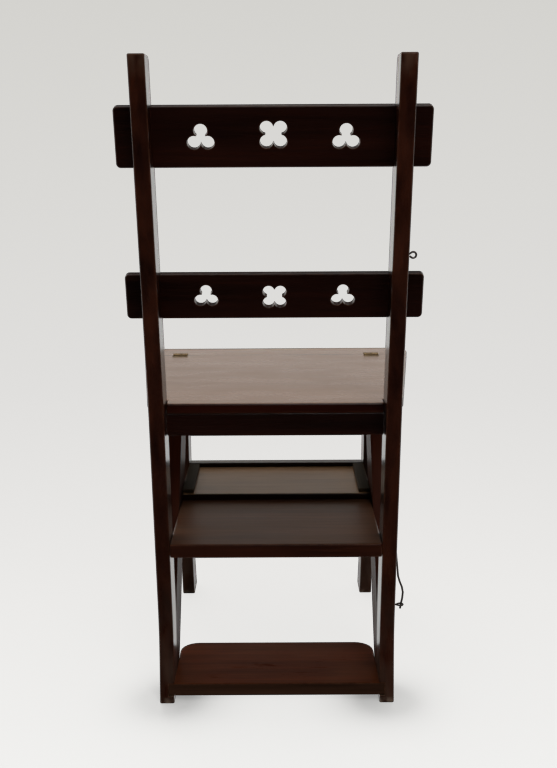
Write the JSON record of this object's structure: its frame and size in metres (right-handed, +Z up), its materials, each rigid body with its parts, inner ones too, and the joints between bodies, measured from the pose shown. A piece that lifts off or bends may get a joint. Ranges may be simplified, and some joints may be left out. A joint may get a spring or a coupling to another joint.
{
  "type": "library step chair",
  "caption": "Wooden metamorphic chair whose back half hinges over to make four library steps, with pierced back rails and an iron stay.",
  "frame": {"origin": "on the floor, below the centre of the chair's outer box", "axes": "+Z up, the sitter faces -Y, +X is the sitter's left"},
  "size_m": [0.4464, 0.5901, 0.9],
  "materials": {
    "mahogany": "dark polished mahogany",
    "tread_mahogany": "worn polished mahogany",
    "dull_brass": "tarnished",
    "iron": "dull wrought wire"
  },
  "bodies": {
    "front_frame": {"front_leg_left": "mahogany", "front_leg_right": "mahogany", "strut_left": "mahogany", "strut_right": "mahogany", "front_strip": "mahogany", "front_rail": "mahogany", "front_tread": "tread_mahogany", "tread_rail": "mahogany", "tread_cleat_left": "mahogany", "tread_cleat_right": "mahogany", "hinge_plate_left": "dull_brass", "hinge_plate_right": "dull_brass", "hinge_pin_left": "iron", "hinge_pin_right": "iron", "stay_eye": "iron"},
    "back_frame": {"stile_left": "mahogany", "stile_right": "mahogany", "top_rail": "mahogany", "lower_rail": "mahogany", "seat_board": "mahogany", "rear_apron": "mahogany", "side_rail_left": "mahogany", "side_rail_right": "mahogany", "brace_left": "mahogany", "brace_right": "mahogany", "middle_tread": "tread_mahogany", "bottom_tread": "tread_mahogany", "hinge_flap_left": "dull_brass", "hinge_flap_right": "dull_brass", "upper_eye": "iron", "lower_eye": "iron"},
    "stay": {"stay_hook": "iron"}
  },
  "joints": [
    {"name": "turn_over", "type": "hinge", "parent": "front_frame", "child": "back_frame", "pos_m": [0, -0.1895, 0.4503], "axis": [1, 0, 0], "range_deg": [0, 180]},
    {"name": "stay_swing", "type": "hinge", "parent": "front_frame", "child": "stay", "pos_m": [-0.1809, -0.21409, 0.4], "axis": [0, 0.1325, 0.9912], "range_deg": [0, 180]}
  ]
}
